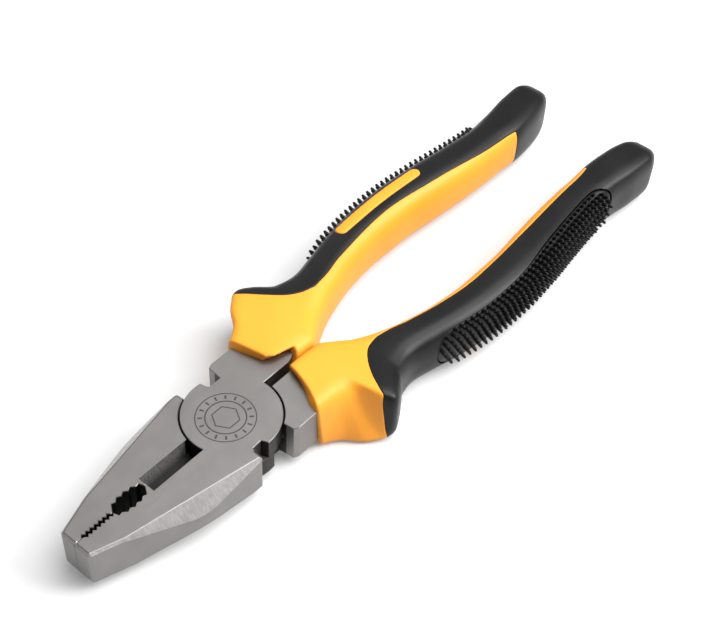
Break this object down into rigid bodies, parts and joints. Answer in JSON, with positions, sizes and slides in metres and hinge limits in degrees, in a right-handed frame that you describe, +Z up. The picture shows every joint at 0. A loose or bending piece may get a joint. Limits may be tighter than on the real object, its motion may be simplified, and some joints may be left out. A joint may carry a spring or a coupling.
{
  "type": "combination pliers",
  "caption": "Lineman's combination pliers: lap-jointed steel jaws with pipe grip, fine teeth and side cutters, on two-component grips with thumb guards and bristle pads.",
  "frame": {"origin": "on the pivot axis, in the plane of the head's underside", "axes": "tool lying flat and closed: +Y from the pivot along the handles, -Y to the jaw tip, +Z up through the head's thickness, +X towards the right-hand handle"},
  "size_m": [0.0578, 0.204, 0.017],
  "materials": {
    "forged_steel": "forged, faces ground satin, facets belt-ground",
    "rivet_steel": "ground flush, satin",
    "yellow_plastic": "smooth moulded, soft gloss",
    "black_sleeve_rubber": "moulded soft rubber, satin",
    "black_pad_rubber": "moulded bristles, soft gloss"
  },
  "bodies": {
    "fixed_half": {"right_jaw_half": "forged_steel", "pivot_rivet": "rivet_steel", "grip_core_left": "yellow_plastic", "grip_sleeve_left": "black_sleeve_rubber", "bristle_pad_left": "black_pad_rubber"},
    "moving_half": {"left_jaw_half": "forged_steel", "grip_core_right": "yellow_plastic", "grip_sleeve_right": "black_sleeve_rubber", "bristle_pad_right": "black_pad_rubber"}
  },
  "joints": [
    {"name": "pivot", "type": "hinge", "parent": "fixed_half", "child": "moving_half", "pos_m": [0, 0, 0.00575], "axis": [0, 0, -1], "range_deg": [0, 38]}
  ]
}
